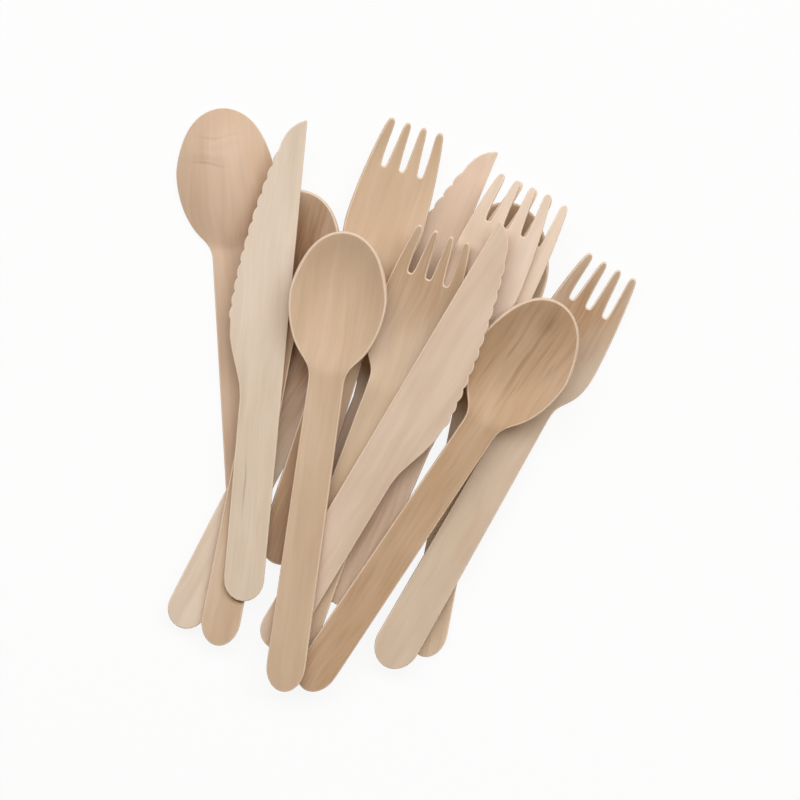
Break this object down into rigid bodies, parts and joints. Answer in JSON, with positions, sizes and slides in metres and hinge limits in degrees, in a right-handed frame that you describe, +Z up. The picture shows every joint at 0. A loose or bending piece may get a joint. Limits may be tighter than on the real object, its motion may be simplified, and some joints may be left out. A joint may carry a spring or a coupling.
{
  "type": "wooden cutlery pack",
  "caption": "Loose pack of pressed birch cutlery in one fanned heap: dished spoons, four-tined forks and flat knives with serrated edges, lying across each other.",
  "frame": {"origin": "centre of the heap's footprint, on the surface it lies on", "axes": "+Z up; +Y along the heap from the handle ends towards the bowls, tines and blades; +X to the right seen from above"},
  "size_m": [0.1616, 0.2016, 0.023],
  "materials": {
    "pale_birch": "smooth pressed veneer, uncoated, matt",
    "tan_birch": "smooth pressed veneer, uncoated, matt",
    "brown_birch": "smooth pressed veneer, uncoated, matt, darker heartwood"
  },
  "bodies": {
    "root": {"knife_1": "pale_birch", "spoon_1": "brown_birch", "spoon_2": "tan_birch", "knife_2": "pale_birch", "spoon_3": "brown_birch", "fork_1": "tan_birch", "fork_2": "pale_birch", "fork_3": "pale_birch", "fork_4": "tan_birch", "fork_5": "tan_birch", "knife_3": "pale_birch", "spoon_4": "brown_birch", "knife_4": "pale_birch", "spoon_5": "tan_birch"}
  },
  "joints": []
}
